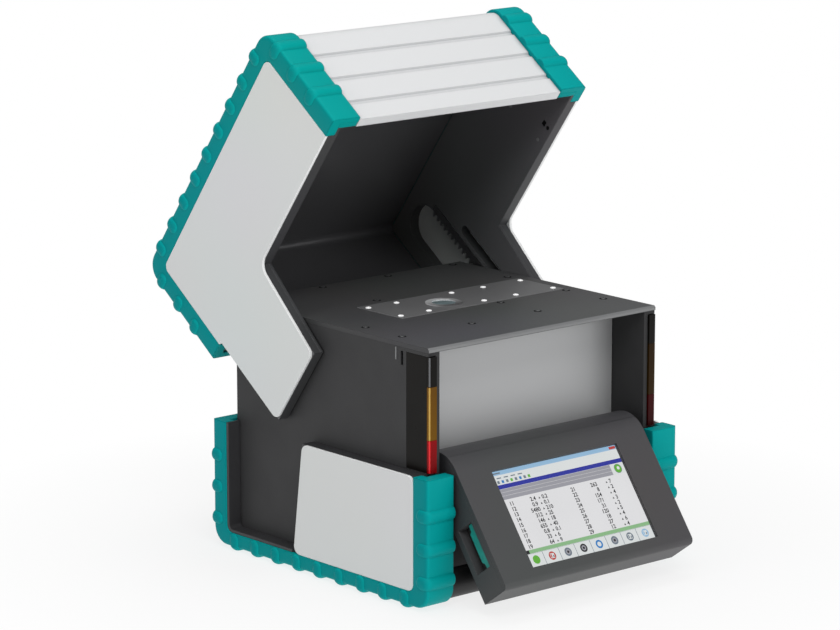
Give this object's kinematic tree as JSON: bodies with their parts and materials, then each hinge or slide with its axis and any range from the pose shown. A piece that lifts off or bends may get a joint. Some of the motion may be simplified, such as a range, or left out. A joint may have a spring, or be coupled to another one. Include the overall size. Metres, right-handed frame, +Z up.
{
  "type": "portable x-ray fluorescence spectrometer",
  "caption": "Portable bench spectrometer: ribbed box base, tilting rack-and-pinion lid over a flat sample stage, lamp columns and a fold-out tablet computer.",
  "frame": {"origin": "middle of the assembly's bounding box in plan, on the surface it stands on, with the lid open", "axes": "+Z up, the tablet and front face -Y, +X is the right-hand side seen from the front"},
  "size_m": [0.299, 0.4402, 0.4682],
  "materials": {
    "bumper_teal": "moulded, satin",
    "panel_light": "smooth satin",
    "cover_white": "smooth satin",
    "moulding_dark": "fine matt grain",
    "sheet_dark": "fine textured paint",
    "plate_dark": "fine textured paint",
    "liner_dark": "satin anodised",
    "panel_brushed": "brushed",
    "steel": "turned",
    "screw_silver": "polished",
    "screw_dark": "blackened",
    "brass": "turned",
    "film": "thin film",
    "lens_smoked": "smoked clear",
    "lens_amber": "smoked amber",
    "lens_red": "clear red",
    "board": "circuit board",
    "bar_black": "soft grip",
    "tablet_dark": "satin",
    "screen_glass": "clear",
    "screen": "lit display",
    "black_plastic": "plain",
    "block_grey": "machined",
    "tube_metal": "turned",
    "battery_wrap": "wrapped cells"
  },
  "bodies": {
    "base": {"base_bumper_left": "bumper_teal", "base_bumper_right": "bumper_teal", "base_panel_left": "panel_light", "base_panel_right": "panel_light", "side_moulding_left": "moulding_dark", "side_moulding_right": "moulding_dark", "chassis_side_left": "sheet_dark", "chassis_side_right": "sheet_dark", "chassis_floor": "sheet_dark", "rear_cover": "sheet_dark", "top_plate": "plate_dark", "stage_insert": "plate_dark", "front_panel": "panel_brushed", "window_ring": "screw_silver", "window_film": "film", "stage_screws": "screw_silver", "plate_screws": "screw_dark", "lamp_columns": "sheet_dark", "smoked_lenses": "lens_smoked", "amber_lenses": "lens_amber", "red_lenses": "lens_red", "lamp_boards": "board", "shaft_bushes": "brass", "guide_pins": "steel", "carrying_bar": "bar_black", "bar_core": "steel", "bar_brackets": "sheet_dark", "tablet_arms": "sheet_dark", "tablet_pins": "steel", "head_block": "block_grey", "xray_tube": "tube_metal", "detector": "steel", "filter_motor": "steel", "fan_frame": "black_plastic", "power_inlet": "black_plastic", "power_switch": "black_plastic", "voltage_supply": "sheet_dark", "battery_pack": "battery_wrap", "main_board": "board"},
    "lid": {"lid_bumper_left": "bumper_teal", "lid_bumper_right": "bumper_teal", "lid_side_left": "moulding_dark", "lid_side_right": "moulding_dark", "lid_panel_left": "panel_light", "lid_panel_right": "panel_light", "lid_cover": "cover_white", "lid_liner": "liner_dark", "racks": "steel", "pinions": "steel", "pinion_shaft": "steel"},
    "tablet": {"tablet_bezel": "tablet_dark", "tablet_housing": "tablet_dark", "tablet_glass": "screen_glass", "tablet_display": "screen", "tablet_board": "board", "tablet_battery": "battery_wrap", "tablet_ports": "black_plastic"},
    "filter_wheel": {"filter_wheel": "brass"},
    "fan_rotor": {"fan_rotor": "black_plastic"},
    "switch_rocker": {"switch_rocker": "black_plastic"}
  },
  "joints": [
    {"name": "lid_tilt", "type": "hinge", "parent": "base", "child": "lid", "pos_m": [0, 0.08726, 0.1934], "axis": [1, 0, 0], "range_deg": [0, 53.9]},
    {"name": "tablet_fold", "type": "hinge", "parent": "base", "child": "tablet", "pos_m": [0, -0.13394, 0.1025], "axis": [-1, 0, 0], "range_deg": [0, 144.1]},
    {"name": "filter_spin", "type": "hinge", "parent": "base", "child": "filter_wheel", "pos_m": [-0.02979, 0.00656, 0.19721], "axis": [-0.7071, 0, -0.7071], "continuous": true},
    {"name": "fan_spin", "type": "hinge", "parent": "base", "child": "fan_rotor", "pos_m": [0.085, 0.10256, 0.088], "axis": [0, 1, 0], "continuous": true},
    {"name": "switch_rock", "type": "hinge", "parent": "base", "child": "switch_rocker", "pos_m": [0.031, 0.10656, 0.04], "axis": [1, 0, 0], "range_deg": [0, 16]}
  ]
}
